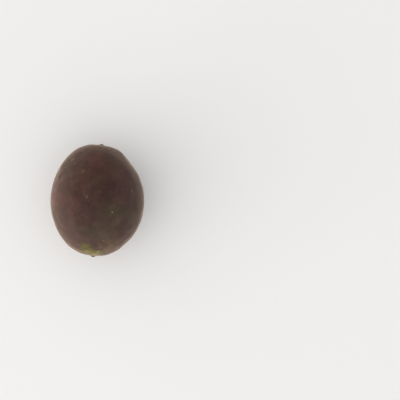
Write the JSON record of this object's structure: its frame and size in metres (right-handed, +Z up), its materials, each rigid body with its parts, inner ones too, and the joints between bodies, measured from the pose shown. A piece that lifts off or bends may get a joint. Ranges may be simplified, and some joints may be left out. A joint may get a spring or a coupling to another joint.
{
  "type": "passion fruit",
  "caption": "Whole ripe purple passion fruit: egg-shaped, dull leathery rind, corky stem scar at one end and dried style point at the other, lying on its side.",
  "frame": {"origin": "the middle of the flat rest spot's plane, under the centre of the fruit's bounding box", "axes": "+Y along the fruit from its stem scar to its style point, +Z up from the surface that it lies on, +X across it"},
  "size_m": [0.0486, 0.0588, 0.0467],
  "materials": {
    "rind": "dull waxy fruit rind, plum brown with a grey bloom, pale breathing pores and a green blush round the stem scar"
  },
  "bodies": {
    "root": {"fruit": "rind"}
  },
  "joints": []
}
